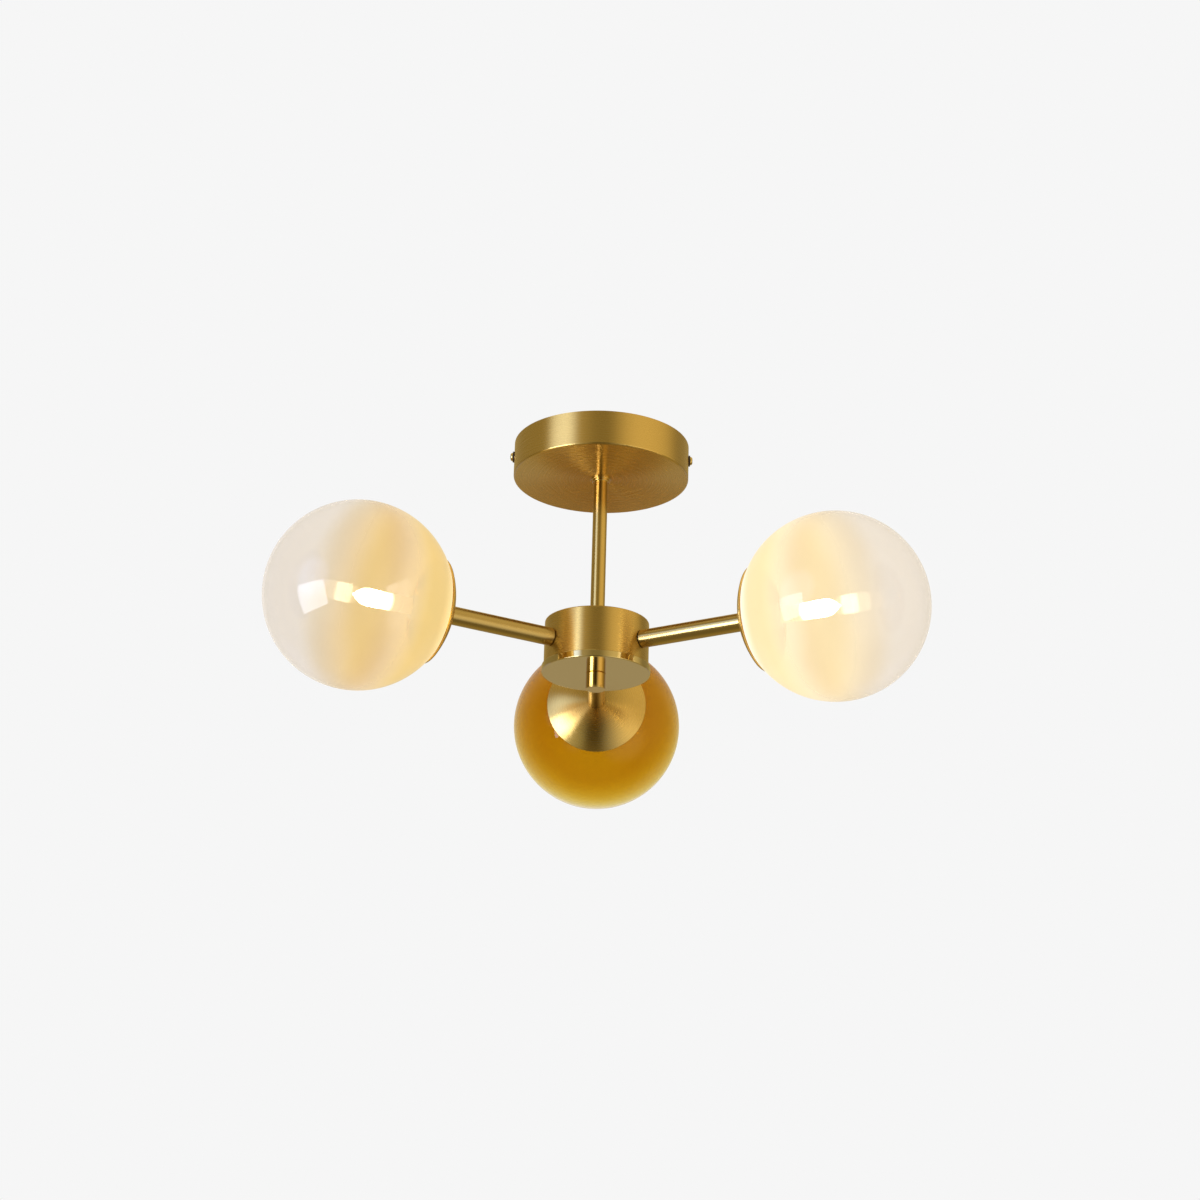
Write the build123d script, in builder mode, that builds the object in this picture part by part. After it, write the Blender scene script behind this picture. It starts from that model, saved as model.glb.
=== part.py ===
from build123d import *
from math import acos, cos, degrees, radians, sin, sqrt
import os

os.makedirs("parts", exist_ok=True)

# A ceiling light with three level arms, each ending in a shaded glass globe on a domed cup.
# Millimetres. The ceiling is the plane z = 0 and the light hangs below it, round the z axis.

# Levels below the ceiling
canopy_height = 30
side_screw_level = -10.8
hub_top = -159.5
arm_level = -180
cover_top = -198
cover_bottom = -204
finial_bottom = -217.5

# Canopy and ceiling bracket
canopy_radius = 74
sheet = 1.2
canopy_edge_radius = 1.5
side_hole_radius = 2.4
bracket_width = 24
bracket_thick = 2
bracket_reach = 71.5
bracket_ear = 25
bracket_bend = 3
slot_spacing = 60
slot_length = 20
slot_radius = 2.5
cable_hole_radius = 7
ear_hole_radius = 2.25
earth_screw_place = (15, 0)
earth_screw_radius = 3.5
earth_screw_height = 2.2
screw_bevel = 0.5
driver_slot_width = 0.9
driver_slot_depth = 1

# Side screws with their dark washers
washer_radius = 4.7
washer_thick = 1.2
dome_radius = 3.6
dome_height = 2
dome_edge_radius = 1.8
screw_radius = 2
screw_length = 10
dome_gap = 0.1

# Threaded tube that joins stem, arms, hub and cups
nipple_radius = 5
nipple_bore = 3.5
nipple_clearance = 0.1
nipple_top = -21
hub_nipple_bottom = -170
nut_flats = 14
nut_thick = 4
earth_ring_radius = 8.5
earth_ring_thick = 1
earth_tag_length = 34
earth_tag_width = 5

# Stem
stem_radius = 6
collar_radius = 8.8
collar_step_radius = 7.5
collar_flange = 1.3
collar_height = 3
collar_edge_radius = 0.5
collar_step_edge_radius = 0.7
stem_grip = 14

# Hub
hub_radius = 43.2
hub_edge_radius = 1
cover_radius = 44.8
cover_floor = 1.6
cover_gap = 0.3
cover_edge_radius = 0.8
cover_rim_radius = 0.4
cover_hole_radius = 3.3
finial_radius = 8.2
finial_bore_depth = 10.5
finial_joint_bevel = 0.6
finial_edge_radius = 0.5
stud_radius = 3
stud_top = -190.5
stud_bottom = -213.5
yoke_width = 30
yoke_depth = 14
yoke_top_plate = 4
yoke_leg = 3
yoke_foot_top = -192
yoke_foot_plate = 3.5
tray_plate = 2
tray_front = 37
tray_width = 18

# Arms at these headings, counted from +x
arm_headings = [210, 330, 90]
arm_radius = 7.5
arm_bore = 6.3
arm_insert = 12
arm_seam = 0.7
arm_saddle_depth = 4
hub_tube_start = 36
hub_tube_length = 18
hub_nut_start = 37.2
cup_tube_grip = 11
cup_tube_end_back = 69.5

# Globes, measured from each globe's centre: distance back towards the hub, and radius
globe_reach = 216
globe_radius = 75
globe_wall = 2
shoulder_back = 62
neck_back = 69
neck_radius = 24
shoulder_edge_radius = 2.5
cup_radius = 76.8
cup_half_angle = 34.7
cup_land_radius = 8.6
cup_rim_radius = 0.4
cup_land_back = sqrt(cup_radius**2 - cup_land_radius**2)
ring_clearance = 0.35
ring_wall = 2.6
ring_front_back = 62.6

# Lampholder and capsule bulb, measured the same way
holder_rear_back = 64
holder_face_back = 47
holder_radius = 10
holder_flat = 9
holder_edge_radius = 0.6
pocket_depth = 14
pocket_height = 3
pocket_width = 5
pin_offset = 4.5
pin_thick = 0.8
pin_width = 3
pin_length = 10
pin_edge_radius = 1
strap_thick = 1.2
strap_width = 8
cup_nut_thick = 3.5
strap_plate_back = cup_land_back - sheet - cup_nut_thick
strap_end_back = 54
strap_ring_radius = 8.5
contact_length = 12
contact_width = 4
contact_thick = 0.5
contact_outset = 1
bulb_radius = 7
bulb_wall = 0.9
bulb_seat_back = 46.5
pinch_length = 10
pinch_height = 13
pinch_width = 4.5
pinch_edge_radius = 1
capsule_back = 38
capsule_taper = 3
dome_start_back = 4
dome_end_radius = 3
bulb_tip_start = 3
bulb_tip_radius = 1.2
bulb_tip_end = 5
bulb_hollow_end = 1
shoulder_bend = 4
dome_bend = 10
tip_edge_radius = 1
channel_radius = 1.2
filament_support_radius = 0.8
filament_back = 31
filament_length = 20
filament_radius = 1.6
filament_edge_radius = 0.4

# Wiring
core_radius = 1
core_offset = 1.25
entry_radius = 1.3
entry_depth = 4
core_entry = 3
terminal_length = 12
terminal_width = 24
terminal_height = 11
terminal_edge_radius = 1.5
terminal_x = -53
terminal_pitch = 8
supply_level = -8
clamp_pocket_radius = 2
clamp_pocket_depth = 1.5
clamp_radius = 1.8
clamp_thick = 1.2
splice_width = 18
splice_depth = 15
splice_height = 14
splice_edge_radius = 1
splice_back = -21
splice_clamp_offset = 4.5
back_entry_offset = -5.5
entry_level = -185
core_bend = 7
core_spread = 3
arm_turn = 24
fan_start = 147.5
fan_end = 150.8
fan_bend = 4
core_end_back = 61.5


def save(piece, name):
    piece.part.label = name
    export_step(piece.part, f"parts/{name}.step")


def arm_axis(heading):
    return Axis((0, 0, arm_level), (cos(radians(heading)), sin(radians(heading)), 0))


def arm_plane(heading, distance=0):
    # Upright plane through the arm: x runs out along the arm from the given distance, y is up
    outward = Vector(cos(radians(heading)), sin(radians(heading)), 0)
    side = Vector(sin(radians(heading)), -cos(radians(heading)), 0)
    return Plane(Vector(0, 0, arm_level) + outward * distance, x_dir=outward, z_dir=side)


def cross_plane(heading, distance):
    # Plane square to the arm at a distance: x runs sideways, y is up, and it faces outwards
    outward = Vector(cos(radians(heading)), sin(radians(heading)), 0)
    sideways = Vector(-sin(radians(heading)), cos(radians(heading)), 0)
    return Plane(Vector(0, 0, arm_level) + outward * distance, x_dir=sideways, z_dir=outward)


def globe_plane(heading):
    return arm_plane(heading, globe_reach)


def along_arm(heading, distance, height=0, sideways=0):
    across = Vector(-sin(radians(heading)), cos(radians(heading)), 0)
    outward = Vector(cos(radians(heading)), sin(radians(heading)), 0)
    return Vector(0, 0, arm_level + height) + outward * distance + across * sideways


# Ceiling bracket: a strip bent down at both ends, with slots for the ceiling screws,
# a hole for the supply cable and a tapped hole in each ear
with BuildPart() as mounting_bracket:
    with BuildSketch(Plane.XZ):
        with BuildLine():
            FilletPolyline(
                (-bracket_reach, -bracket_ear),
                (-bracket_reach, 0),
                (bracket_reach, 0),
                (bracket_reach, -bracket_ear),
                radius=bracket_bend,
            )
            Line((bracket_reach, -bracket_ear), (-bracket_reach, -bracket_ear))
        make_face()
        with BuildLine():
            inner_reach = bracket_reach - bracket_thick
            FilletPolyline(
                (-inner_reach, -bracket_ear),
                (-inner_reach, -bracket_thick),
                (inner_reach, -bracket_thick),
                (inner_reach, -bracket_ear),
                radius=bracket_bend - bracket_thick,
            )
            Line((inner_reach, -bracket_ear), (-inner_reach, -bracket_ear))
        make_face(mode=Mode.SUBTRACT)
    extrude(amount=bracket_width / 2, both=True)
    with BuildSketch(Plane.XY):
        with Locations((-slot_spacing / 2, 0), (slot_spacing / 2, 0)):
            SlotOverall(slot_length, 2 * slot_radius)
        Circle(cable_hole_radius)
    extrude(amount=-bracket_thick, mode=Mode.SUBTRACT)
    with BuildSketch(Plane.YZ):
        with Locations((0, side_screw_level)):
            Circle(ear_hole_radius)
    extrude(amount=bracket_reach, both=True, mode=Mode.SUBTRACT)
save(mounting_bracket, "mounting_bracket")

# Earth screw under the bracket, beside the cable hole
with BuildPart() as earth_screw:
    with BuildSketch(Plane.XY.offset(-bracket_thick)):
        with Locations(earth_screw_place):
            Circle(earth_screw_radius)
    extrude(amount=-earth_screw_height)
    chamfer(edges().group_by(Axis.Z)[0], screw_bevel)
    with BuildSketch(Plane.XY.offset(-bracket_thick - earth_screw_height)):
        with Locations(earth_screw_place):
            Rectangle(2 * earth_screw_radius, driver_slot_width)
    extrude(amount=driver_slot_depth, mode=Mode.SUBTRACT)
save(earth_screw, "earth_screw")

# Canopy: a spun cup, open at the ceiling, with the stem's hole in its floor
with BuildPart() as canopy:
    with BuildSketch(Plane.XY):
        Circle(canopy_radius)
    extrude(amount=-canopy_height)
    fillet(edges().group_by(Axis.Z)[0], canopy_edge_radius)
    offset(amount=-sheet, openings=faces().sort_by(Axis.Z)[-1])
    with Locations((0, 0, -canopy_height)):
        Cylinder(nipple_radius + nipple_clearance, 4 * sheet, mode=Mode.SUBTRACT)
    with BuildSketch(Plane.YZ):
        with Locations((0, side_screw_level)):
            Circle(side_hole_radius)
    extrude(amount=canopy_radius + 1, both=True, mode=Mode.SUBTRACT)
save(canopy, "canopy")

# Side screws that hold the canopy to the bracket's ears, each with a dark flat washer
for side, name in [(-1, "left"), (1, "right")]:
    washer_face = canopy_radius + dome_gap
    head_face = washer_face + washer_thick
    screw_plane = Plane((0, 0, side_screw_level), x_dir=(0, 1, 0), z_dir=(side, 0, 0))
    with BuildPart() as side_washer:
        with BuildSketch(screw_plane.offset(washer_face)):
            Circle(washer_radius)
            Circle(screw_radius, mode=Mode.SUBTRACT)
        extrude(amount=washer_thick)
    save(side_washer, f"side_washer_{name}")
    with BuildPart() as side_screw:
        with BuildSketch(screw_plane.offset(head_face)):
            Circle(dome_radius)
        extrude(amount=dome_height)
        dome_rim = edges().filter_by(GeomType.CIRCLE).sort_by(Axis.X)
        fillet(dome_rim[0] if side < 0 else dome_rim[-1], dome_edge_radius)
        with BuildSketch(screw_plane.offset(head_face)):
            Circle(screw_radius)
        extrude(amount=-screw_length)
    save(side_screw, f"side_screw_{name}")

# Three-pole terminal block under the bracket, where the supply is joined
with BuildPart() as supply_terminal:
    with Locations((terminal_x, 0, -bracket_thick - terminal_height / 2)):
        Box(terminal_length, terminal_width, terminal_height)
    fillet(edges().filter_by(Axis.Y).group_by(Axis.Z)[0], terminal_edge_radius)
    for pole in [-1, 0, 1]:
        with BuildSketch(Plane.YZ.offset(terminal_x)):
            with Locations((pole * terminal_pitch, supply_level)):
                Circle(entry_radius)
        extrude(amount=terminal_length, both=True, mode=Mode.SUBTRACT)
        with BuildSketch(Plane.XY.offset(-bracket_thick - terminal_height)):
            with Locations((terminal_x, pole * terminal_pitch)):
                Circle(clamp_pocket_radius)
        extrude(amount=clamp_pocket_depth, mode=Mode.SUBTRACT)
save(supply_terminal, "supply_terminal")

# Threaded tubes at the two ends of the stem, and the nuts that draw it tight
with BuildPart() as stem_nipple:
    with BuildSketch(Plane.XY.offset(-canopy_height - stem_grip)):
        Circle(nipple_radius)
        Circle(nipple_bore, mode=Mode.SUBTRACT)
    extrude(amount=canopy_height + stem_grip + nipple_top)
save(stem_nipple, "stem_nipple")

with BuildPart() as hub_nipple:
    with BuildSketch(Plane.XY.offset(hub_nipple_bottom)):
        Circle(nipple_radius)
        Circle(nipple_bore, mode=Mode.SUBTRACT)
    extrude(amount=hub_top + stem_grip - hub_nipple_bottom)
save(hub_nipple, "hub_nipple")

canopy_floor_top = -canopy_height + sheet
for name, top in [
    ("stem_locknut", canopy_floor_top + earth_ring_thick + nut_thick),
    ("hub_locknut", hub_top - sheet - yoke_top_plate),
]:
    with BuildPart() as locknut:
        with BuildSketch(Plane.XY.offset(top)):
            RegularPolygon(nut_flats / 2, 6, major_radius=False)
            Circle(nipple_radius, mode=Mode.SUBTRACT)
        extrude(amount=-nut_thick)
    save(locknut, name)

# Ring tag of the earth leads, under the canopy's nut, with a tongue on each side
with BuildPart() as earth_tag:
    with BuildSketch(Plane.XY.offset(canopy_floor_top)):
        Circle(earth_ring_radius)
        Rectangle(earth_tag_length, earth_tag_width)
        Circle(nipple_radius + nipple_clearance, mode=Mode.SUBTRACT)
    extrude(amount=earth_ring_thick)
save(earth_tag, "earth_tag")

# Collar under the canopy, a flange with a smaller step
with BuildPart() as stem_collar:
    with BuildSketch(Plane.XY.offset(-canopy_height)):
        Circle(collar_radius)
    extrude(amount=-collar_flange)
    with BuildSketch(Plane.XY.offset(-canopy_height - collar_flange)):
        Circle(collar_step_radius)
    extrude(amount=collar_flange - collar_height)
    rims = edges().filter_by(GeomType.CIRCLE)
    fillet(rims.group_by(Axis.Z)[0], collar_step_edge_radius)
    rims = edges().filter_by(GeomType.CIRCLE)
    fillet(rims.group_by(Axis.Z)[-2].sort_by(SortBy.LENGTH)[-1], collar_edge_radius)
    with BuildSketch(Plane.XY.offset(-canopy_height)):
        Circle(stem_radius)
    extrude(amount=-collar_height, mode=Mode.SUBTRACT)
save(stem_collar, "stem_collar")

with BuildPart() as stem:
    with BuildSketch(Plane.XY.offset(-canopy_height)):
        Circle(stem_radius)
        Circle(nipple_radius, mode=Mode.SUBTRACT)
    extrude(amount=canopy_height + hub_top)
save(stem, "stem")

# Hub drum: a spun cup with its open side down and a hole for each arm's threaded tube
hub_bottom = cover_bottom + cover_floor + cover_gap
with BuildPart() as hub_drum:
    with BuildSketch(Plane.XY.offset(hub_top)):
        Circle(hub_radius)
    extrude(amount=hub_bottom - hub_top)
    fillet(edges().group_by(Axis.Z)[-1], hub_edge_radius)
    offset(amount=-sheet, openings=faces().sort_by(Axis.Z)[0])
    with Locations((0, 0, hub_top)):
        Cylinder(nipple_radius + nipple_clearance, 4 * sheet, mode=Mode.SUBTRACT)
    for heading in arm_headings:
        with BuildSketch(cross_plane(heading, hub_radius - 5)):
            Circle(nipple_radius + nipple_clearance)
        extrude(amount=10, mode=Mode.SUBTRACT)
save(hub_drum, "hub_drum")

# Yoke inside the hub: a frame screwed on the stem's threaded tube, with a tapped foot for the
# cover's stud and a tray for the splice block
yoke_top = hub_top - sheet
with BuildPart() as hub_yoke:
    with BuildSketch(Plane.XZ):
        with BuildLine():
            Polyline(
                (-yoke_width / 2, yoke_top),
                (yoke_width / 2, yoke_top),
                (yoke_width / 2, yoke_foot_top - yoke_foot_plate),
                (-yoke_width / 2, yoke_foot_top - yoke_foot_plate),
                close=True,
            )
        make_face()
        window_height = yoke_top - yoke_top_plate - yoke_foot_top
        with Locations((0, yoke_foot_top + window_height / 2)):
            Rectangle(yoke_width - 2 * yoke_leg, window_height, mode=Mode.SUBTRACT)
    extrude(amount=yoke_depth / 2, both=True)
    with BuildSketch(Plane.XY.offset(yoke_foot_top)):
        with Locations((0, -tray_front / 2)):
            Rectangle(tray_width, tray_front)
    extrude(amount=-tray_plate)
    with Locations((0, 0, yoke_top)):
        Cylinder(nipple_radius, 2 * yoke_top_plate, mode=Mode.SUBTRACT)
    with Locations((0, 0, yoke_foot_top)):
        Cylinder(stud_radius, 3 * yoke_foot_plate, mode=Mode.SUBTRACT)
save(hub_yoke, "hub_yoke")

# Stud that carries the hub's cover and finial
with BuildPart() as finial_stud:
    with BuildSketch(Plane.XY.offset(stud_top)):
        Circle(stud_radius)
    extrude(amount=stud_bottom - stud_top)
    chamfer(edges().group_by(Axis.Z)[0], screw_bevel)
save(finial_stud, "finial_stud")

# Hub cover: a shallow lid whose lip stands round the drum
with BuildPart() as hub_cover:
    with BuildSketch(Plane.XY.offset(cover_top)):
        Circle(cover_radius)
    extrude(amount=cover_bottom - cover_top)
    fillet(edges().group_by(Axis.Z)[0], cover_edge_radius)
    with BuildSketch(Plane.XY.offset(cover_top)):
        Circle(cover_radius - sheet)
    extrude(amount=cover_bottom + cover_floor - cover_top, mode=Mode.SUBTRACT)
    with Locations((0, 0, cover_bottom)):
        Cylinder(cover_hole_radius, 4 * cover_floor, mode=Mode.SUBTRACT)
    fillet(edges().group_by(Axis.Z)[-1].sort_by(SortBy.LENGTH)[-1], cover_rim_radius)
save(hub_cover, "hub_cover")

# Finial: a plain cylinder that screws up the stud
with BuildPart() as finial:
    with BuildSketch(Plane.XY.offset(cover_bottom)):
        Circle(finial_radius)
    extrude(amount=finial_bottom - cover_bottom)
    fillet(edges().group_by(Axis.Z)[0], finial_edge_radius)
    chamfer(edges().group_by(Axis.Z)[-1], finial_joint_bevel)
    with BuildSketch(Plane.XY.offset(cover_bottom)):
        Circle(cover_hole_radius)
    extrude(amount=-finial_bore_depth, mode=Mode.SUBTRACT)
save(finial, "finial")

# Splice block on the yoke's tray: leads go in at the left, the right and the back
splice_top = yoke_foot_top + splice_height
splice_y = splice_back - splice_depth / 2
clamp_places = [(-splice_clamp_offset, splice_y), (splice_clamp_offset, splice_y)]
with BuildPart() as splice_block:
    with Locations((0, splice_y, yoke_foot_top + splice_height / 2)):
        Box(splice_width, splice_depth, splice_height)
    fillet(edges().filter_by(Axis.Z), splice_edge_radius)
    for level in [entry_level - core_offset, entry_level + core_offset]:
        with BuildSketch(Plane.YZ.offset(splice_width / 2)):
            with Locations((splice_y, level)):
                Circle(entry_radius)
        extrude(amount=-entry_depth, mode=Mode.SUBTRACT)
        with BuildSketch(Plane.YZ.offset(-splice_width / 2)):
            with Locations((splice_y, level)):
                Circle(entry_radius)
        extrude(amount=entry_depth, mode=Mode.SUBTRACT)
        with BuildSketch(Plane.XZ.offset(-splice_back)):
            with Locations((0, level), (back_entry_offset, level)):
                Circle(entry_radius)
        extrude(amount=entry_depth, mode=Mode.SUBTRACT)
    with BuildSketch(Plane.XY.offset(splice_top)):
        with Locations(*clamp_places):
            Circle(clamp_pocket_radius)
    extrude(amount=-clamp_pocket_depth, mode=Mode.SUBTRACT)
save(splice_block, "splice_block")

# Clamp screws of both blocks, sunk in their pockets
with BuildPart() as terminal_screws:
    with BuildSketch(Plane.XY.offset(-bracket_thick - terminal_height + clamp_pocket_depth)):
        with Locations(*[(terminal_x, pole * terminal_pitch) for pole in [-1, 0, 1]]):
            Circle(clamp_radius)
    extrude(amount=-clamp_thick)
    with BuildSketch(Plane.XY.offset(splice_top - clamp_pocket_depth)):
        with Locations(*clamp_places):
            Circle(clamp_radius)
    extrude(amount=clamp_thick)
save(terminal_screws, "terminal_screws")

# Lead cores that join the stem's supply to the splice block: live in front, neutral behind
supply_face = terminal_x + terminal_length / 2
with BuildPart() as stem_leads:
    for side, bend_level in [(-1, -176.8), (1, -179.5)]:
        entry = entry_level - side * core_offset
        with BuildLine() as route:
            FilletPolyline(
                (supply_face - core_entry, side * terminal_pitch, supply_level),
                (supply_face + 7, side * terminal_pitch, supply_level),
                (-14, side * core_offset, supply_level),
                (0, side * core_offset, supply_level),
                (0, side * core_offset, bend_level),
                (0, -13, entry),
                (0, splice_back - core_entry, entry),
                radius=[20, 20, 7, 6, 12],
            )
        with BuildSketch(Plane(origin=route.line @ 0, z_dir=route.line % 0)):
            Circle(core_radius)
        sweep(path=route.line)
save(stem_leads, "stem_leads")

# Earth leads, from the supply block and from the bracket's screw to the tag
tag_level = canopy_floor_top + earth_ring_thick + core_radius + 0.05
earth_routes = [
    [(supply_face - core_entry, supply_level), (-40, supply_level), (-30, tag_level), (-10, tag_level)],
    [(18.6, -3.4), (32, -5), (40, -15), (32, tag_level), (10, tag_level)],
]
with BuildPart() as earth_leads:
    for places in earth_routes:
        with BuildLine() as route:
            FilletPolyline(*[(x, 0, z) for x, z in places], radius=core_bend)
        with BuildSketch(Plane(origin=route.line @ 0, z_dir=route.line % 0)):
            Circle(core_radius)
        sweep(path=route.line)
save(earth_leads, "earth_leads")

# Threaded tubes and nuts at the two ends of the arms, one of each for every arm
arm_end = globe_reach - cup_land_back
cup_tube_start = arm_end - cup_tube_grip
cup_tube_end = globe_reach - cup_tube_end_back
for name, start, length in [
    ("arm_tubes", hub_tube_start, hub_tube_length),
    ("cup_tubes", cup_tube_start, cup_tube_end - cup_tube_start),
]:
    with BuildPart() as threaded_tubes:
        for heading in arm_headings:
            with BuildSketch(cross_plane(heading, start)):
                Circle(nipple_radius)
                Circle(nipple_bore, mode=Mode.SUBTRACT)
            extrude(amount=length)
    save(threaded_tubes, name)
for name, start, length in [
    ("arm_nuts", hub_nut_start, nut_thick),
    ("cup_nuts", arm_end + sheet, cup_nut_thick),
]:
    with BuildPart() as nuts:
        for heading in arm_headings:
            with BuildSketch(cross_plane(heading, start)):
                RegularPolygon(nut_flats / 2, 6, major_radius=False)
                Circle(nipple_radius, mode=Mode.SUBTRACT)
            extrude(amount=length)
    save(nuts, name)

# Spring contact strips, one at the outer wall of each pin pocket
contact_start = globe_reach - holder_face_back - 1 - contact_length
contact_height = pin_offset + contact_outset
with BuildPart() as holder_contacts:
    for heading in arm_headings:
        with BuildSketch(cross_plane(heading, contact_start)):
            with Locations((0, -contact_height), (0, contact_height)):
                Rectangle(contact_width, contact_thick)
        extrude(amount=contact_length)
save(holder_contacts, "holder_contacts")

# Lead routes inside the hub, from the splice block to the start of each arm:
# x, y and height above the block's entry at each corner
splice_edge = splice_width / 2
hub_routes = {
    210: [(core_entry - splice_edge, splice_y, 0), (-15, splice_y, 0)],
    330: [(splice_edge - core_entry, splice_y, 0), (15, splice_y, 0)],
    90: [
        (back_entry_offset, splice_back - core_entry, 0),
        (back_entry_offset, -14, 0),
        (-19, -9, 1),
        (-19, 14, 3.5),
    ],
}
core_end = globe_reach - core_end_back

for number, heading in enumerate(arm_headings, start=1):
    axis = arm_axis(heading)
    middle = globe_plane(heading)

    # Arm: a tube with a thicker threaded insert at both ends, seated on the round drum
    with BuildPart() as arm:
        with BuildSketch(cross_plane(heading, hub_radius - arm_saddle_depth)):
            Circle(arm_radius)
            Circle(nipple_radius, mode=Mode.SUBTRACT)
        extrude(amount=arm_end - hub_radius + arm_saddle_depth)
        with BuildSketch(cross_plane(heading, hub_radius + arm_insert)):
            Circle(arm_bore)
        extrude(amount=arm_end - hub_radius - 2 * arm_insert, mode=Mode.SUBTRACT)
        with Locations((0, 0, arm_level)):
            Cylinder(hub_radius + arm_seam, 4 * arm_radius, mode=Mode.SUBTRACT)
    save(arm, f"arm_{number}")

    # Cup: a thin dome that follows the globe, with a flat land where the arm meets it
    inner_radius = cup_radius - sheet
    inner_land_back = cup_land_back - sheet
    inner_land_radius = sqrt(inner_radius**2 - inner_land_back**2)
    outer_land_angle = 180 - degrees(acos(cup_land_back / cup_radius))
    inner_land_angle = 180 - degrees(acos(inner_land_back / inner_radius))
    rim_angle = 180 - cup_half_angle
    hole_radius = nipple_radius + nipple_clearance
    with BuildPart() as cup:
        with BuildSketch(middle) as cup_section:
            with BuildLine():
                land = Line((-cup_land_back, hole_radius), (-cup_land_back, cup_land_radius))
                outside = CenterArc((0, 0), cup_radius, outer_land_angle, rim_angle - outer_land_angle)
                inside = CenterArc((0, 0), inner_radius, rim_angle, inner_land_angle - rim_angle)
                Line(land @ 1, outside @ 0)
                Line(outside @ 1, inside @ 0)
                Polyline(
                    inside @ 1,
                    (-inner_land_back, inner_land_radius),
                    (-inner_land_back, hole_radius),
                    land @ 0,
                )
            make_face()
            fillet(vertices().sort_by_distance(outside @ 1)[0], cup_rim_radius)
            fillet(vertices().sort_by_distance(inside @ 0)[0], cup_rim_radius)
        revolve(axis=axis)
    save(cup, f"cup_{number}")

    # Neck ring, soldered inside the cup; the globe's neck screws into it
    ring_bore = neck_radius + ring_clearance
    with BuildPart() as neck_ring:
        with BuildSketch(cross_plane(heading, globe_reach - cup_land_back)):
            Circle(ring_bore + ring_wall)
            Circle(ring_bore, mode=Mode.SUBTRACT)
        extrude(amount=cup_land_back - ring_front_back)
        with Locations(along_arm(heading, globe_reach)):
            Sphere(inner_radius, mode=Mode.INTERSECT)
    save(neck_ring, f"neck_ring_{number}")

    # Steel strap that holds the lampholder on the arm's threaded tube
    with BuildPart() as holder_strap:
        with BuildSketch(cross_plane(heading, globe_reach - strap_plate_back)):
            Circle(strap_ring_radius)
            Rectangle(2 * (holder_flat + strap_thick), strap_width)
            Circle(nipple_radius, mode=Mode.SUBTRACT)
        extrude(amount=strap_thick)
        with BuildSketch(cross_plane(heading, globe_reach - strap_plate_back)):
            with Locations((-holder_flat - strap_thick / 2, 0), (holder_flat + strap_thick / 2, 0)):
                Rectangle(strap_thick, strap_width)
        extrude(amount=strap_plate_back - strap_end_back)
    save(holder_strap, f"holder_strap_{number}")

    # Ceramic lampholder: two pockets for the pins in front, two holes for the cores behind
    with BuildPart() as lampholder:
        with BuildSketch(cross_plane(heading, globe_reach - holder_rear_back)):
            Circle(holder_radius)
            Rectangle(2 * holder_flat, 2 * holder_radius, mode=Mode.INTERSECT)
        extrude(amount=holder_rear_back - holder_face_back)
        fillet(edges().filter_by(GeomType.CIRCLE), holder_edge_radius)
        with BuildSketch(cross_plane(heading, globe_reach - holder_face_back)):
            with Locations((0, -pin_offset), (0, pin_offset)):
                Rectangle(pocket_width, pocket_height)
        extrude(amount=-pocket_depth, mode=Mode.SUBTRACT)
        with BuildSketch(cross_plane(heading, globe_reach - holder_rear_back)):
            with Locations((0, -core_spread), (0, core_spread)):
                Circle(entry_radius)
        extrude(amount=core_entry, mode=Mode.SUBTRACT)
    save(lampholder, f"lampholder_{number}")

    # Capsule bulb: a tube with a pointed dome and a flat pinch that seats near the holder,
    # hollow inside, with a channel through the pinch for the filament's support
    with BuildPart() as bulb_glass:
        with BuildSketch(middle):
            with BuildLine():
                Polyline(
                    (-capsule_back, 0),
                    (-capsule_back, bulb_radius - capsule_taper),
                    (capsule_taper - capsule_back, bulb_radius),
                    (-dome_start_back, bulb_radius),
                    (bulb_tip_start - 1, dome_end_radius),
                    (bulb_tip_start, bulb_tip_radius),
                    (bulb_tip_end, bulb_tip_radius),
                    (bulb_tip_end, 0),
                    close=True,
                )
            make_face()
            fillet(vertices().sort_by_distance((capsule_taper - capsule_back, bulb_radius))[0], shoulder_bend)
            fillet(vertices().sort_by_distance((-dome_start_back, bulb_radius))[0], dome_bend)
            fillet(vertices().sort_by_distance((bulb_tip_end, bulb_tip_radius))[0], tip_edge_radius)
        revolve(axis=axis)
        with BuildSketch(cross_plane(heading, globe_reach - bulb_seat_back)):
            RectangleRounded(pinch_width, pinch_height, pinch_edge_radius)
        extrude(amount=pinch_length)
        with BuildSketch(middle):
            with BuildLine():
                hollow_start = capsule_taper - capsule_back
                Polyline(
                    (hollow_start, 0),
                    (hollow_start, bulb_radius - capsule_taper - bulb_wall),
                    (hollow_start + 2, bulb_radius - bulb_wall),
                    (-dome_start_back - bulb_wall / 2, bulb_radius - bulb_wall),
                    (bulb_hollow_end, dome_end_radius - bulb_wall / 2),
                    (bulb_hollow_end, 0),
                    close=True,
                )
            make_face()
        revolve(axis=axis, mode=Mode.SUBTRACT)
        with BuildSketch(cross_plane(heading, globe_reach - bulb_seat_back)):
            Circle(channel_radius)
        extrude(amount=bulb_seat_back - capsule_back + capsule_taper + 1, mode=Mode.SUBTRACT)
    save(bulb_glass, f"bulb_glass_{number}")

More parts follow.
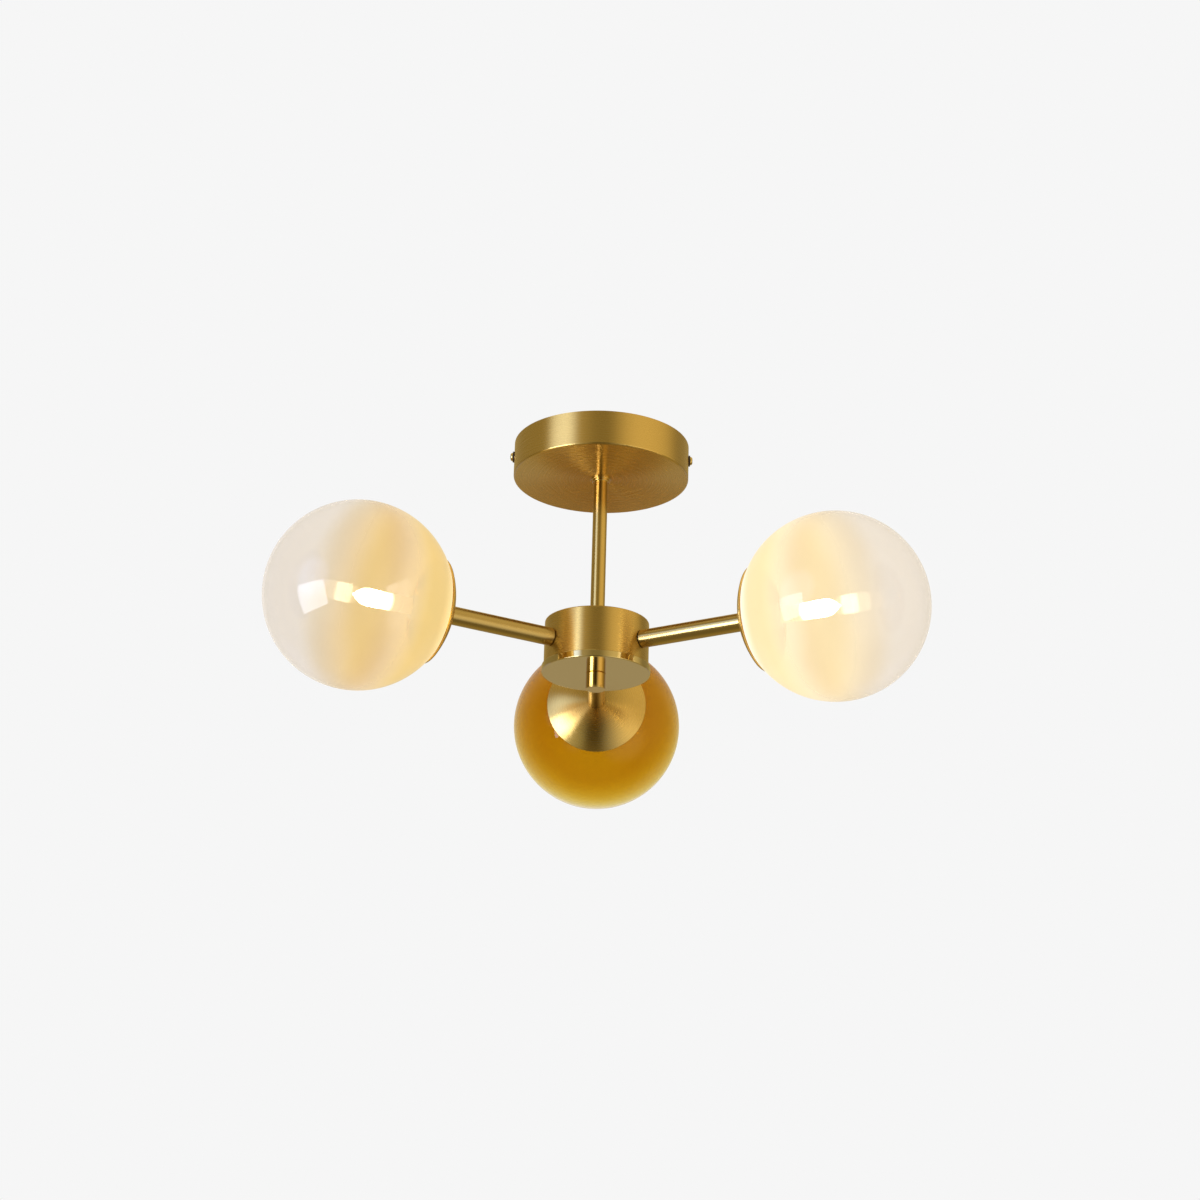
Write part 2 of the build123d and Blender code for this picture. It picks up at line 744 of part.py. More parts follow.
    # Filament: a coil, drawn as its own envelope, on a support through the pinch
    with BuildPart() as bulb_filament:
        with BuildSketch(cross_plane(heading, globe_reach - bulb_seat_back)):
            Circle(filament_support_radius)
        extrude(amount=bulb_seat_back - filament_back)
        with BuildSketch(cross_plane(heading, globe_reach - filament_back)):
            Circle(filament_radius)
        extrude(amount=filament_length)
        fillet(edges().filter_by(GeomType.CIRCLE).sort_by(SortBy.RADIUS)[-2:], filament_edge_radius)
    save(bulb_filament, f"bulb_filament_{number}")

    # Two flat looped pins that stand in the lampholder's pockets
    with BuildPart() as bulb_pins:
        for side in [-1, 1]:
            with BuildSketch(cross_plane(heading, globe_reach - bulb_seat_back)):
                with Locations((0, side * pin_offset)):
                    Rectangle(pin_width, pin_thick)
            extrude(amount=-pin_length)
        fillet(edges().filter_by(Axis.Z).group_by(axis)[0], pin_edge_radius)
    save(bulb_pins, f"bulb_pins_{number}")

    # Globe: a blown sphere with a flat shoulder and a short neck at the cup's end
    inside_radius = globe_radius - globe_wall
    inner_shoulder_back = shoulder_back - globe_wall
    shoulder_angle = 180 - degrees(acos(shoulder_back / globe_radius))
    inner_shoulder_angle = 180 - degrees(acos(inner_shoulder_back / inside_radius))
    with BuildPart() as globe:
        with BuildSketch(middle):
            with BuildLine():
                outside = CenterArc((0, 0), globe_radius, 0, shoulder_angle)
                inside = CenterArc((0, 0), inside_radius, inner_shoulder_angle, -inner_shoulder_angle)
                Polyline(
                    outside @ 1,
                    (-shoulder_back, neck_radius),
                    (-neck_back, neck_radius),
                    (-neck_back, neck_radius - globe_wall),
                    (-inner_shoulder_back, neck_radius - globe_wall),
                    inside @ 0,
                )
                Line(inside @ 1, outside @ 0)
            make_face()
            fillet(vertices().sort_by_distance(outside @ 1)[0], shoulder_edge_radius)
            fillet(vertices().sort_by_distance(inside @ 0)[0], shoulder_edge_radius - globe_wall / 2)
        revolve(axis=axis)
    save(globe, f"globe_{number}")

    # Leads from the splice block through the arm to the lampholder, two cores one above the other
    with BuildPart() as arm_leads:
        for side in [-1, 1]:
            height = side * core_offset
            in_hub = [(x, y, entry_level + rise + height) for x, y, rise in hub_routes[heading]]
            spread = side * core_spread
            along = [
                along_arm(heading, arm_turn, height),
                along_arm(heading, fan_start, height),
                along_arm(heading, fan_end, spread),
                along_arm(heading, core_end, spread),
            ]
            bends = [core_bend] * (len(in_hub) - 1) + [core_bend, fan_bend, fan_bend]
            with BuildLine() as route:
                FilletPolyline(*in_hub, *along, radius=bends)
            with BuildSketch(Plane(origin=route.line @ 0, z_dir=route.line % 0)):
                Circle(core_radius)
            sweep(path=route.line)
    save(arm_leads, f"arm_leads_{number}")
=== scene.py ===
import bpy
from math import cos, radians, sin
from mathutils import Matrix, Vector

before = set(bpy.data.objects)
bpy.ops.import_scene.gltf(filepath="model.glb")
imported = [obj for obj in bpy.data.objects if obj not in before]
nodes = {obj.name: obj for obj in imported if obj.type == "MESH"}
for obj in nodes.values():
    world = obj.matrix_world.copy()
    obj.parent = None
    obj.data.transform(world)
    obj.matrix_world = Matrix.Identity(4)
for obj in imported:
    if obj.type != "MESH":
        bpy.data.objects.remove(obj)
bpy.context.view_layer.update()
print("frame loaded with", len(nodes), "nodes")

# arm headings in degrees from +X, in the order of the numbered nodes
armHeadings = {1: 210, 2: 330, 3: 90}
armHeight = -0.180
globeReach = 0.216
sideScrewHeight = -0.0108


def armDirection(number):
    angle = radians(armHeadings[number])
    return Vector((cos(angle), sin(angle), 0))


def globeMiddle(number):
    return armDirection(number) * globeReach + Vector((0, 0, armHeight))


# Camera, below the light and looking up at it
photoCamera = {
    "place": (0.0019, -1.8968, -0.8536),
    "pitch": 20.65,  # degrees up
    "roll": 1.5,
    "turn": 0.45,  # degrees round the stem
    "focal": 2437.7,  # in pixels of a frame this wide
    "frame": 1200,
    "sensor": 36,
    "nearest": 0.05,
    "farthest": 60,
}


def addCamera():
    data = bpy.data.cameras.new("photoCamera")
    data.sensor_fit = "HORIZONTAL"
    data.sensor_width = photoCamera["sensor"]
    data.lens = photoCamera["focal"] / photoCamera["frame"] * data.sensor_width
    data.clip_start = photoCamera["nearest"]
    data.clip_end = photoCamera["farthest"]
    camera = bpy.data.objects.new("photoCamera", data)
    bpy.context.scene.collection.objects.link(camera)
    pitch = radians(photoCamera["pitch"])
    roll = radians(photoCamera["roll"])
    forward = Vector((0, cos(pitch), sin(pitch)))
    right = Vector((1, 0, 0))
    up = right.cross(forward)
    rolledRight = right * cos(roll) + up * sin(roll)
    rolledUp = up * cos(roll) - right * sin(roll)
    turned = Matrix((rolledRight, rolledUp, -forward)).transposed().to_4x4()
    turned.translation = Vector(photoCamera["place"])
    camera.matrix_world = Matrix.Rotation(radians(photoCamera["turn"]), 4, "Z") @ turned
    bpy.context.scene.camera = camera


addCamera()
print("camera placed")


# Small helpers for node trees
def newMaterial(name):
    material = bpy.data.materials.new(name)
    material.use_nodes = True
    tree = material.node_tree
    tree.nodes.clear()
    output = tree.nodes.new("ShaderNodeOutputMaterial")
    return material, tree, output


def addNode(tree, kind, inputs=None, **settings):
    node = tree.nodes.new(kind)
    for key, value in settings.items():
        setattr(node, key, value)
    for key, value in (inputs or {}).items():
        if isinstance(value, bpy.types.NodeSocket):
            tree.links.new(value, node.inputs[key])
        else:
            node.inputs[key].default_value = value
    return node


def vectorMath(tree, operation, first, second=None):
    inputs = {0: first}
    if second is not None:
        inputs[1] = second
    node = addNode(tree, "ShaderNodeVectorMath", inputs, operation=operation)
    return node.outputs["Value"] if operation in ("DOT_PRODUCT", "LENGTH") else node.outputs[0]


def scaledVector(tree, vector, factor):
    inputs = {0: vector, "Scale": factor}
    return addNode(tree, "ShaderNodeVectorMath", inputs, operation="SCALE").outputs[0]


def plainMath(tree, operation, first, second):
    return addNode(tree, "ShaderNodeMath", {0: first, 1: second}, operation=operation).outputs[0]


def colourMix(tree, factor, first, second, blend="MIX"):
    inputs = {0: factor, 6: first, 7: second}
    return addNode(tree, "ShaderNodeMix", inputs, data_type="RGBA", blend_type=blend).outputs[2]


def numberRange(tree, value, low, high, toLow, toHigh, smooth=False):
    inputs = {"Value": value, "From Min": low, "From Max": high, "To Min": toLow, "To Max": toHigh}
    kind = "SMOOTHSTEP" if smooth else "LINEAR"
    return addNode(tree, "ShaderNodeMapRange", inputs, interpolation_type=kind).outputs[0]


def noise(tree, place, scale, detail=2.0, roughness=0.5):
    inputs = {"Vector": place, "Scale": scale, "Detail": detail, "Roughness": roughness}
    return addNode(tree, "ShaderNodeTexNoise", inputs).outputs[0]


def bumpNormal(tree, height, strength, depth):
    inputs = {"Height": height, "Strength": strength, "Distance": depth}
    return addNode(tree, "ShaderNodeBump", inputs).outputs[0]


def mixShaders(tree, share, first, second):
    return addNode(tree, "ShaderNodeMixShader", {0: share, 1: first, 2: second}).outputs[0]


def objectPlace(tree):
    return addNode(tree, "ShaderNodeTexCoord").outputs["Object"]


def rgba(colour):
    return (*colour, 1.0)


def darkened(colour, share):
    return tuple(part * share for part in colour)


def paint(node, material):
    piece = nodes[node]
    piece.data.materials.clear()
    piece.data.materials.append(material)


# Brass, turned or drawn: fine rings or lines round an axis through the piece
brass = {
    "satin": {"colour": (0.76, 0.51, 0.16), "roughness": (0.265, 0.285), "anisotropy": 0.9, "grain": 0.002},
    "drawn": {"colour": (0.76, 0.52, 0.17), "roughness": (0.17, 0.20), "anisotropy": 0.6, "grain": 0.003},
    "polished": {"colour": (0.78, 0.56, 0.22), "roughness": (0.08, 0.12), "anisotropy": 0.5, "grain": 0.01},
    # arm: the same brass, painted darker as shade on the arms
    "arm": {"colour": (0.56, 0.395, 0.145), "roughness": (0.23, 0.26), "anisotropy": 0.7, "grain": 0.003},
    "coverColour": (0.77, 0.60, 0.28),
    "turnedMarks": 2600.0,  # noise scale away from the axis and along it
    "drawnMarks": 400.0,
    "drift": 2.4,  # how much the marks change on their way round
    "marksDetail": 3.0,
    "marksRoughness": 0.6,
    "broadScale": 38.0,  # slow change over the whole piece
    "shares": (0.8, 0.2),  # of the marks and of the slow change in how dull it is
    "dullSpan": (0.3, 0.7),
    "tintSpan": (0.35, 0.65),
    "darker": 0.975,
    "grainDepth": 0.00006,
    "tangentTurn": 0.25,  # highlights stretch across the marks
}


def turnedBrass(name, finish, point, direction, marks=brass["turnedMarks"], colour=None):
    look = brass[finish]
    material, tree, output = newMaterial(name)
    place = objectPlace(tree)
    axis = tuple(direction)
    fromPoint = vectorMath(tree, "SUBTRACT", place, tuple(point))
    height = vectorMath(tree, "DOT_PRODUCT", fromPoint, axis)
    outward = vectorMath(tree, "SUBTRACT", fromPoint, scaledVector(tree, axis, height))
    radius = vectorMath(tree, "LENGTH", outward)
    around = vectorMath(tree, "NORMALIZE", vectorMath(tree, "CROSS_PRODUCT", axis, outward))
    rings = addNode(tree, "ShaderNodeCombineXYZ", {
        "X": plainMath(tree, "MULTIPLY", radius, marks), "Y": plainMath(tree, "MULTIPLY", height, marks)})
    brushed = vectorMath(tree, "ADD", rings.outputs[0], scaledVector(tree, around, brass["drift"]))
    fine = noise(tree, brushed, 1.0, brass["marksDetail"], brass["marksRoughness"])
    broad = noise(tree, place, brass["broadScale"])
    fineShare, broadShare = brass["shares"]
    fineDull = plainMath(tree, "MULTIPLY", fine, fineShare)
    broadDull = plainMath(tree, "MULTIPLY", broad, broadShare)
    dull = plainMath(tree, "ADD", fineDull, broadDull)
    roughness = numberRange(tree, dull, *brass["dullSpan"], *look["roughness"])
    base = colour or look["colour"]
    tinted = numberRange(tree, fine, *brass["tintSpan"], 0, 1)
    tint = colourMix(tree, tinted, rgba(darkened(base, brass["darker"])), rgba(base))
    shader = addNode(tree, "ShaderNodeBsdfPrincipled", {
        "Base Color": tint, "Metallic": 1.0, "Roughness": roughness,
        "Anisotropic": look["anisotropy"], "Anisotropic Rotation": brass["tangentTurn"],
        "Normal": bumpNormal(tree, fine, look["grain"], brass["grainDepth"]), "Tangent": around})
    tree.links.new(shader.outputs[0], output.inputs["Surface"])
    return material


# Stem, canopy, hub and their small parts turn round the upright axis
upright = Vector((0, 0, 1))
origin = Vector((0, 0, 0))
satinUpright = turnedBrass("satinBrassUpright", "satin", origin, upright)
polishedUpright = turnedBrass("polishedBrassUpright", "polished", origin, upright)
coverBrass = turnedBrass("polishedBrassCover", "polished", origin, upright, colour=brass["coverColour"])
for node in ("canopy", "hub_drum"):
    paint(node, satinUpright)
for node in ("stem_collar", "finial"):
    paint(node, polishedUpright)
paint("stem", turnedBrass("drawnBrassUpright", "drawn", origin, upright, brass["drawnMarks"]))
paint("hub_cover", coverBrass)

# Side screws turn round the line that joins them
sideAxis = Vector((1, 0, 0))
sidePoint = Vector((0, 0, sideScrewHeight))
polishedSide = turnedBrass("polishedBrassSide", "polished", sidePoint, sideAxis)
for node in ("side_screw_left", "side_screw_right"):
    paint(node, polishedSide)

# Arms, cups and neck rings turn round their own arm
for number in armHeadings:
    middle, direction = globeMiddle(number), armDirection(number)
    satinArm = turnedBrass(f"satinBrassArm{number}", "satin", middle, direction)
    for node in ("cup", "neck_ring"):
        paint(f"{node}_{number}", satinArm)
    # the arms' brass is painted darker, as painted shade
    shadedArm = turnedBrass(f"shadedBrassArm{number}", "arm", middle, direction, brass["drawnMarks"])
    paint(f"arm_{number}", shadedArm)
print("brass painted")


# Blown glass: amber at the cup, fading to clear past the globe's middle, with a milky haze in it; in the two
# side globes that haze is mostly a painted glow standing in for the light of the bulb inside.
# Places along the arm are in radii from the globe's middle, below zero on the cup's side.
globeGlass = {
    "amber": {1: (0.62, 0.38, 0.13), 2: (0.66, 0.42, 0.18), 3: (0.56, 0.28, 0.003)},  # let through per wall; paler in the lit side globes, as painted light of their bulbs
    "clear": (0.97, 0.93, 0.885),
    "amberSpan": (-0.80, 0.30),
    "deepestSpan": (-1.0, -0.7),  # more amber still next to the cup: thicker glass there, and painted shade of the cup
    "deepest": 0.25,
    "leastSlant": 0.75,  # a wall seen edge on counts as at most 1 / 0.75 as thick
    "radius": 0.075,
    "wallMiddle": 0.074,  # radius between the wall's two faces
    "streakScale": 22.0,
    "streakDetail": 3.0,
    "streakSway": 0.10,  # how far streaks shift the fade
    "haze": {1: (0.10, 0.93), 2: (0.16, 0.93), 3: (0.03, 0.07)},  # at the clear and the amber end; more in the side globes, where it carries their painted glow
    "hazeSpan": (-0.40, 0.25),
    # haze colours per globe: the side globes' bright ones are painted glow of their bulbs, the back globe's
    # dark ones are its haze under the room's light
    "hazeAndGlowClear": {1: (0.72, 0.65, 0.56), 2: (0.92, 0.80, 0.62), 3: (0.85, 0.75, 0.55)},
    "hazeAndGlowMiddle": {1: (1.02, 0.83, 0.54), 2: (1.20, 1.08, 0.80), 3: (0.75, 0.42, 0.03)},
    "hazeAndGlowDeep": {1: (0.95, 0.69, 0.27), 2: (1.13, 0.93, 0.53), 3: (0.66, 0.34, 0.01)},
    "hazeAndGlowAmber": {1: (1.38, 1.06, 0.46), 2: (1.36, 1.28, 1.02), 3: (0.60, 0.28, 0.003)},
    "middleToClear": (-0.35, 0.5),
    "deepToMiddle": (-0.45, -0.05),
    "amberToDeep": (-0.88, -0.62),
    "mattShare": 0.25,  # of the haze that isn't painted glow
    "paintedGlow": {1: 0.92, 2: 0.92, 3: 0.0},  # share of the haze painted as an even glow, standing in for the light of the bulb inside
    "paintedRim": (0.95, 0.93, 0.90),  # painted highlight: pale edge where the wall is seen edge on
    "paintedRimShare": 0.40,
    "edgePower": 5.0,
    "shine": (0.022, 0.11),  # facing and edge on
    "shineRoughness": 0.02,
    "rippleScale": 14.0,
    "ripple": 0.12,
    "rippleDepth": 0.0006,
}


# What the glass lets through, all of it taken at the wall's outer face
def wallTint(tree, number, wavy, facing, outerWall):
    look = globeGlass
    amber = numberRange(tree, wavy, *look["amberSpan"], 1.0, 0.0, smooth=True)
    # darker amber next to the cup, partly thicker glass and partly painted shade of the cup
    thickerAndShadedNearCup = numberRange(tree, wavy, *look["deepestSpan"], look["deepest"], 0.0, smooth=True)
    slant = plainMath(tree, "MAXIMUM", plainMath(tree, "SUBTRACT", 1.0, facing), look["leastSlant"])
    amberPath = plainMath(tree, "DIVIDE", plainMath(tree, "ADD", amber, thickerAndShadedNearCup), slant)
    clearPath = plainMath(tree, "SUBTRACT", 1.0, amber)
    amberColour, clearColour = rgba(look["amber"][number]), rgba(look["clear"])
    throughAmber = addNode(tree, "ShaderNodeGamma", {"Color": amberColour, "Gamma": amberPath}).outputs[0]
    throughClear = addNode(tree, "ShaderNodeGamma", {"Color": clearColour, "Gamma": clearPath}).outputs[0]
    tint = colourMix(tree, 1.0, throughAmber, throughClear, blend="MULTIPLY")
    return colourMix(tree, outerWall, (1, 1, 1, 1), tint)


# Haze in four colours from the clear side to the cup, partly painted as a glow standing in for the bulb
# inside
def hazeAndPaintedGlow(tree, number, wavy):
    look = globeGlass
    colour = rgba(look["hazeAndGlowClear"][number])
    stops = (("middleToClear", "hazeAndGlowMiddle"), ("deepToMiddle", "hazeAndGlowDeep"), ("amberToDeep", "hazeAndGlowAmber"))
    for span, stop in stops:
        share = numberRange(tree, wavy, *look[span], 1.0, 0.0, smooth=True)
        colour = colourMix(tree, share, colour, rgba(look[stop][number]))
    spread = addNode(tree, "ShaderNodeBsdfTranslucent", {"Color": colour}).outputs[0]
    matt = addNode(tree, "ShaderNodeBsdfDiffuse", {"Color": colour}).outputs[0]
    # painted glow of the haze: the glass shines as if lit by its bulb, and keeps shining without it
    glow = addNode(tree, "ShaderNodeEmission", {"Color": colour, "Strength": 1.0}).outputs[0]
    unlit = mixShaders(tree, look["mattShare"], spread, matt)
    return mixShaders(tree, look["paintedGlow"][number], unlit, glow)


def globeMaterial(number):
    look = globeGlass
    material, tree, output = newMaterial(f"shadedGlass{number}")
    fromMiddle = vectorMath(tree, "SUBTRACT", objectPlace(tree), tuple(globeMiddle(number)))
    outerWall = plainMath(tree, "GREATER_THAN", vectorMath(tree, "LENGTH", fromMiddle), look["wallMiddle"])
    reach = vectorMath(tree, "DOT_PRODUCT", fromMiddle, tuple(armDirection(number)))
    along = plainMath(tree, "DIVIDE", reach, look["radius"])
    streak = noise(tree, fromMiddle, look["streakScale"], look["streakDetail"])
    sway = plainMath(tree, "MULTIPLY", plainMath(tree, "SUBTRACT", streak, 0.5), look["streakSway"])
    wavy = plainMath(tree, "ADD", along, sway)
    facing = addNode(tree, "ShaderNodeLayerWeight", {"Blend": 0.5}).outputs["Facing"]
    tint = wallTint(tree, number, wavy, facing, outerWall)
    through = addNode(tree, "ShaderNodeBsdfTransparent", {"Color": tint}).outputs[0]
    atClear, atAmber = look["haze"][number]
    milky = numberRange(tree, wavy, *look["hazeSpan"], atAmber, atClear, smooth=True)
    hazeShare = plainMath(tree, "MULTIPLY", milky, outerWall)
    hazy = mixShaders(tree, hazeShare, through, hazeAndPaintedGlow(tree, number, wavy))
    edge = plainMath(tree, "POWER", facing, look["edgePower"])
    paintedRimShare = plainMath(tree, "MULTIPLY", plainMath(tree, "MULTIPLY", edge, look["paintedRimShare"]), outerWall)
    # painted highlight along the globe's rim, where the wall is seen edge on
    pale = addNode(tree, "ShaderNodeBsdfDiffuse", {"Color": rgba(look["paintedRim"])}).outputs[0]
    body = mixShaders(tree, paintedRimShare, hazy, pale)
    uneven = noise(tree, fromMiddle, look["rippleScale"], 1.0)
    gloss = addNode(tree, "ShaderNodeBsdfAnisotropic", {
        "Color": (1, 1, 1, 1), "Roughness": look["shineRoughness"],
        "Normal": bumpNormal(tree, uneven, look["ripple"], look["rippleDepth"])}).outputs[0]
    shine = numberRange(tree, edge, 0.0, 1.0, *look["shine"])
    tree.links.new(mixShaders(tree, shine, body, gloss), output.inputs["Surface"])
    return material


for number in armHeadings:
    paint(f"globe_{number}", globeMaterial(number))
print("globes painted")

# Capsule bulbs: the two side ones are lit, the back one only glows.
# Places along the arm are from the globe's middle, below zero on the cup's side.
bulbs = {
    "colour": (1.0, 0.86, 0.60),
    "glow": {1: 16.0, 2: 20.0, 3: 1.0},
    "glassRoughness": 0.08,
    "wireColour": (1.0, 0.72, 0.38),
    "filament": {1: 30.0, 2: 30.0, 3: 4.0},
    "wireRoughness": 0.4,
    "tip": -0.0075,  # the hot part's front end
    "tipFade": 0.001,
    "hotTo": -0.016,
    "litTo": -0.026,
    "fade": 0.003,
    "tipShare": 0.2,  # of the glow, at the tip and from the hot part back
    "faint": 0.03,  # of the glow, behind the lit part
    "grainScale": 220.0,
    "darker": 0.92,
}


def glowingMaterial(name, number, colour, strength, roughness):
    material, tree, output = newMaterial(name)
    place = objectPlace(tree)
    fromMiddle = vectorMath(tree, "SUBTRACT", place, tuple(globeMiddle(number)))
    along = vectorMath(tree, "DOT_PRODUCT", fromMiddle, tuple(armDirection(number)))
    low, high = bulbs["faint"], bulbs["tipShare"]
    tip, hotTo, litTo, fade = bulbs["tip"], bulbs["hotTo"], bulbs["litTo"], bulbs["fade"]
    back = numberRange(tree, along, litTo - fade, litTo, low, high, smooth=True)
    hot = numberRange(tree, along, hotTo - fade, hotTo, 0.0, 1.0 - high, smooth=True)
    front = numberRange(tree, along, tip, tip + bulbs["tipFade"], 1.0, 0.0, smooth=True)
    share = plainMath(tree, "ADD", back, plainMath(tree, "MULTIPLY", hot, front))
    grain = noise(tree, place, bulbs["grainScale"])
    shade = colourMix(tree, grain, rgba(darkened(colour, bulbs["darker"])), rgba(colour))
    shader = addNode(tree, "ShaderNodeBsdfPrincipled", {
        "Base Color": shade, "Roughness": roughness, "Emission Color": rgba(colour),
        "Emission Strength": plainMath(tree, "MULTIPLY", share, strength)})
    tree.links.new(shader.outputs[0], output.inputs["Surface"])
    return material


for number in armHeadings:
    glass = glowingMaterial(f"bulbGlass{number}", number, bulbs["colour"], bulbs["glow"][number],
                            bulbs["glassRoughness"])
    wire = glowingMaterial(f"bulbWire{number}", number, bulbs["wireColour"], bulbs["filament"][number],
                           bulbs["wireRoughness"])
    paint(f"bulb_glass_{number}", glass)
    paint(f"bulb_filament_{number}", wire)
print("bulbs painted")

# Plain finishes of the inner and fixing parts
grainedLook = {
    "detail": 4.0,
    "span": (0.3, 0.7),
    "duller": 1.15,
    "shinier": 0.85,
    "darker": 0.88,
    "grain": 0.08,
    "grainDepth": 0.0001,
}
plainFinishes = {
    "zincSteel": {"colour": (0.62, 0.62, 0.60), "roughness": 0.32, "metallic": 1.0, "scale": 260.0},
    "platedSteel": {"colour": (0.74, 0.74, 0.72), "roughness": 0.18, "metallic": 1.0, "scale": 500.0},
    "darkWasher": {"colour": (0.035, 0.018, 0.010), "roughness": 0.5, "scale": 900.0},
    "whiteCeramic": {"colour": (0.86, 0.85, 0.81), "roughness": 0.45, "scale": 700.0},
    "blockPlastic": {"colour": (0.83, 0.83, 0.80), "roughness": 0.4, "scale": 800.0},
    "contactBrass": {"colour": (0.74, 0.55, 0.25), "roughness": 0.28, "metallic": 1.0, "scale": 600.0},
    "paleLead": {"colour": (0.80, 0.77, 0.68), "roughness": 0.42, "scale": 900.0},
    "greenLead": {"colour": (0.16, 0.36, 0.04), "roughness": 0.42, "scale": 900.0},
}
finishOf = {
    "zincSteel": ["mounting_bracket", "hub_yoke", "finial_stud", "arm_tubes", "cup_tubes", "arm_nuts",
                  "cup_nuts", "stem_nipple", "hub_nipple", "stem_locknut", "hub_locknut",
                  "holder_strap_1", "holder_strap_2", "holder_strap_3"],
    "platedSteel": ["bulb_pins_1", "bulb_pins_2", "bulb_pins_3"],
    "darkWasher": ["side_washer_left", "side_washer_right"],
    "whiteCeramic": ["lampholder_1", "lampholder_2", "lampholder_3"],
    "blockPlastic": ["supply_terminal", "splice_block"],
    "contactBrass": ["terminal_screws", "holder_contacts", "earth_screw", "earth_tag"],
    "paleLead": ["stem_leads", "arm_leads_1", "arm_leads_2", "arm_leads_3"],
    "greenLead": ["earth_leads"],
}


def grainedMaterial(name, colour, roughness, scale, metallic=0.0):
    look = grainedLook
    material, tree, output = newMaterial(name)
    grain = noise(tree, objectPlace(tree), scale, look["detail"])
    shade = colourMix(tree, grain, rgba(darkened(colour, look["darker"])), rgba(colour))
    dullest = min(1.0, roughness * look["duller"])
    dull = numberRange(tree, grain, *look["span"], roughness * look["shinier"], dullest)
    shader = addNode(tree, "ShaderNodeBsdfPrincipled", {
        "Base Color": shade, "Metallic": metallic, "Roughness": dull,
        "Normal": bumpNormal(tree, grain, look["grain"], look["grainDepth"])})
    tree.links.new(shader.outputs[0], output.inputs["Surface"])
    return material


for finish, members in finishOf.items():
    material = grainedMaterial(finish, **plainFinishes[finish])
    for node in members:
        paint(node, material)
print("plain finishes on")

# Studio: pale floor of the room far below, soft boxes and a pale surround
studio = {
    "floorHeight": -2.4,
    "floorReach": 14,
    "floorColour": (0.94, 0.94, 0.94),
    "floorDarker": 0.985,
    "floorNoise": 3.0,
    "floorRoughness": 0.9,
    "background": 0.922,  # what the camera sees, also through glass
    "fill": 0.85,
    "dim": (0.24, 0.20, 0.095),  # what metal sees where no patch is
    "shade": ((0.05, -0.95, -0.40), 10, 40, 0.80),  # and the darker part of it, in front and below
    "boxAim": (0, 0, -0.15),
    "glassWalls": 32,  # clear surfaces that a ray may pass
}


def addFloor():
    mesh = bpy.data.meshes.new("studioFloor")
    reach, level = studio["floorReach"], studio["floorHeight"]
    corners = [(-reach, -reach, level), (reach, -reach, level), (reach, reach, level), (-reach, reach, level)]
    mesh.from_pydata(corners, [], [(0, 1, 2, 3)])
    floor = bpy.data.objects.new("studioFloor", mesh)
    bpy.context.scene.collection.objects.link(floor)
    material, tree, output = newMaterial("floorPaint")
    base = studio["floorColour"]
    grain = noise(tree, objectPlace(tree), studio["floorNoise"])
    shade = colourMix(tree, grain, rgba(darkened(base, studio["floorDarker"])), rgba(base))
    shader = addNode(tree, "ShaderNodeBsdfPrincipled", {
        "Base Color": shade, "Roughness": studio["floorRoughness"]})
    tree.links.new(shader.outputs[0], output.inputs["Surface"])
    mesh.materials.append(material)
    floor.visible_glossy = False  # metal sees the patches of the room in its place


# What metal sees of the room: a direction, the degrees from it within which the patch is full
# and at which it ends, and its light
roomPatches = [
    ((-0.76, -0.63, 0.10), 13, 25, (0.80, 1.18, 2.40)),
    ((-0.62, -0.72, 0.06), 8, 38, (0.21, 0.19, 0.14)),
    ((-0.50, -0.68, -0.52), 6, 22, (0.36, 0.40, 0.36)),
    ((0.87, -0.46, 0.05), 14, 58, (0.50, 0.42, 0.24)),
    ((0.0, 0.1, 1.0), 25, 75, (0.42, 0.36, 0.20)),
    ((0.62, -0.62, -0.48), 8, 38, (0.42, 0.44, 0.46)),
    ((0.0, 0.94, -0.34), 20, 65, (0.17, 0.125, 0.01)),
    ((0.0, 0.94, -0.34), 5, 13, (0.0, 0.04, 0.15)),
    ((-0.50, 0.80, -0.36), 8, 24, (0.0, 0.08, 0.42)),
    ((0.50, 0.80, -0.36), 8, 24, (0.0, 0.08, 0.42)),
]


def nearTo(tree, direction, toward, full, end):
    nearness = vectorMath(tree, "DOT_PRODUCT", direction, tuple(Vector(toward).normalized()))
    return numberRange(tree, nearness, cos(radians(end)), cos(radians(full)), 0.0, 1.0, smooth=True)


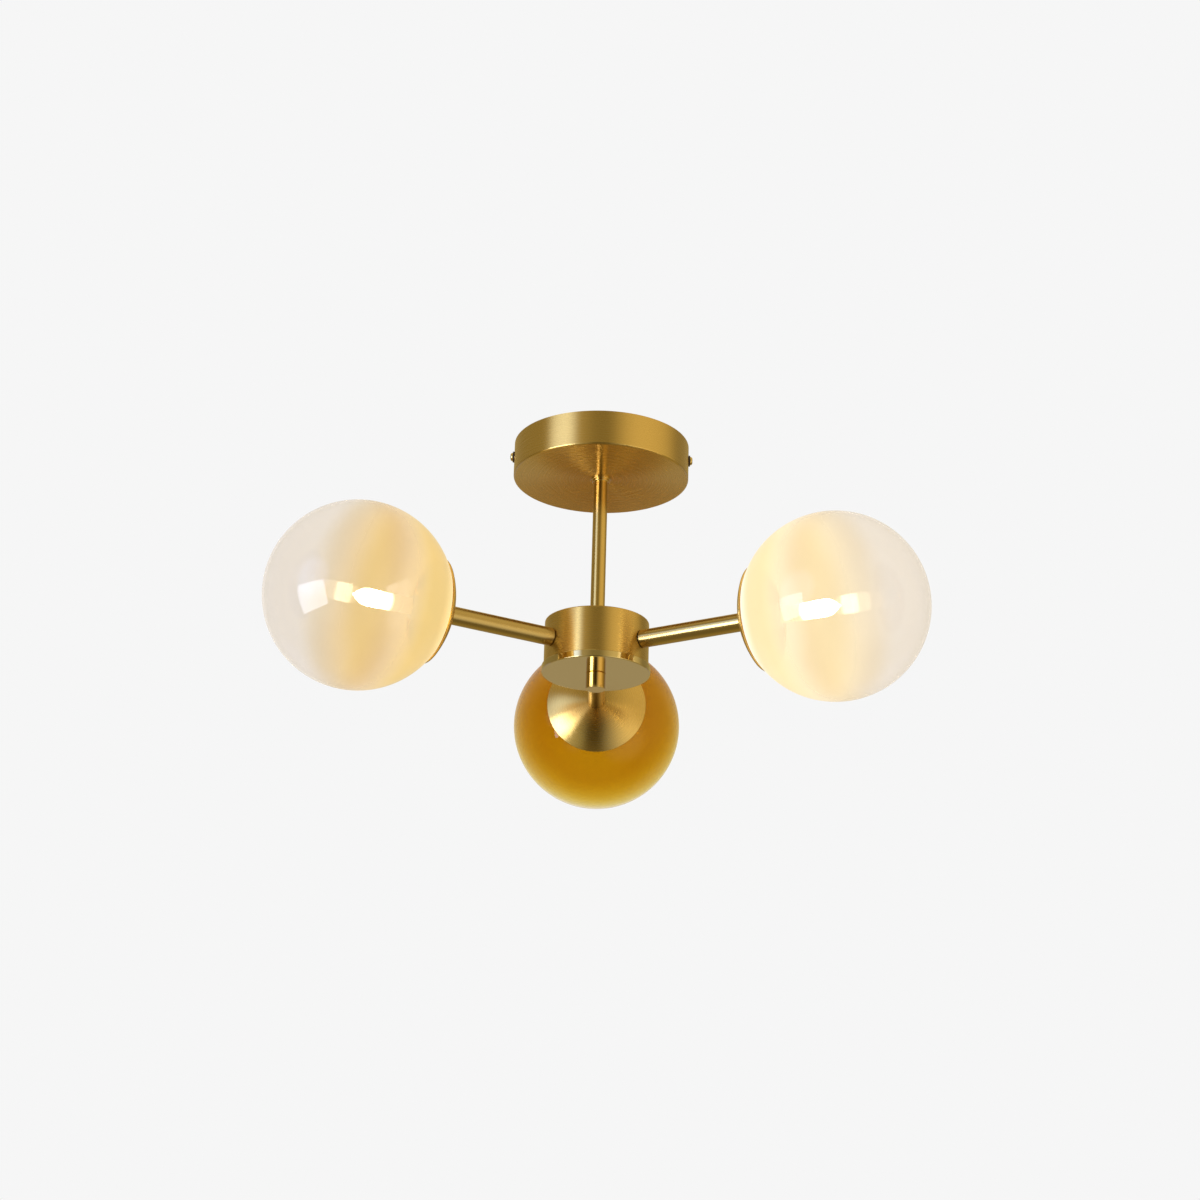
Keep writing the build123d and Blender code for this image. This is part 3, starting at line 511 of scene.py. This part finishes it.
def addWorld():
    world = bpy.data.worlds.new("studioSurround")
    bpy.context.scene.world = world
    world.use_nodes = True
    tree = world.node_tree
    tree.nodes.clear()
    output = tree.nodes.new("ShaderNodeOutputWorld")
    direction = addNode(tree, "ShaderNodeTexCoord").outputs["Generated"]
    toward, full, end, depth = studio["shade"]
    shade = plainMath(tree, "MULTIPLY", nearTo(tree, direction, toward, full, end), depth)
    inMetal = colourMix(tree, shade, rgba(studio["dim"]), (0, 0, 0, 1))
    for toward, full, end, light in roomPatches:
        near = nearTo(tree, direction, toward, full, end)
        inMetal = colourMix(tree, near, inMetal, rgba(light), blend="ADD")
    path = addNode(tree, "ShaderNodeLightPath")
    pale = plainMath(tree, "MAXIMUM", path.outputs["Is Camera Ray"], path.outputs["Is Transmission Ray"])
    fill, level = studio["fill"], studio["background"]
    light = colourMix(tree, path.outputs["Is Glossy Ray"], (fill, fill, fill, 1), inMetal)
    light = colourMix(tree, pale, light, (level, level, level, 1))
    surround = addNode(tree, "ShaderNodeBackground", {"Color": light, "Strength": 1.0})
    tree.links.new(surround.outputs[0], output.inputs["Surface"])


# One box that metal and glass reflect, and one that only lights
softBoxes = {
    "keyLeft": {"place": (-1.37, -1.03, -0.58), "size": (1.0, 0.8), "power": 16,
                "colour": (0.90, 1.0, 1.25), "shiny": True},
    "topBack": {"place": (0.3, 1.7, 1.9), "size": (1.4, 0.8), "power": 14,
                "colour": (1.0, 0.98, 0.95), "shiny": False},
}


def addSoftBox(name, place, size, power, colour, shiny):
    lamp = bpy.data.lights.new(name, "AREA")
    lamp.shape = "RECTANGLE"
    lamp.size, lamp.size_y = size
    lamp.energy = power
    lamp.color = colour
    box = bpy.data.objects.new(name, lamp)
    box.location = place
    box.visible_glossy = shiny
    box.rotation_euler = (Vector(studio["boxAim"]) - Vector(place)).to_track_quat("-Z", "Y").to_euler()
    bpy.context.scene.collection.objects.link(box)


addFloor()
addWorld()
for name, settings in softBoxes.items():
    addSoftBox(name, **settings)
scene = bpy.context.scene
scene.view_settings.view_transform = "Standard"
scene.cycles.transparent_max_bounces = studio["glassWalls"]
print("studio lit")
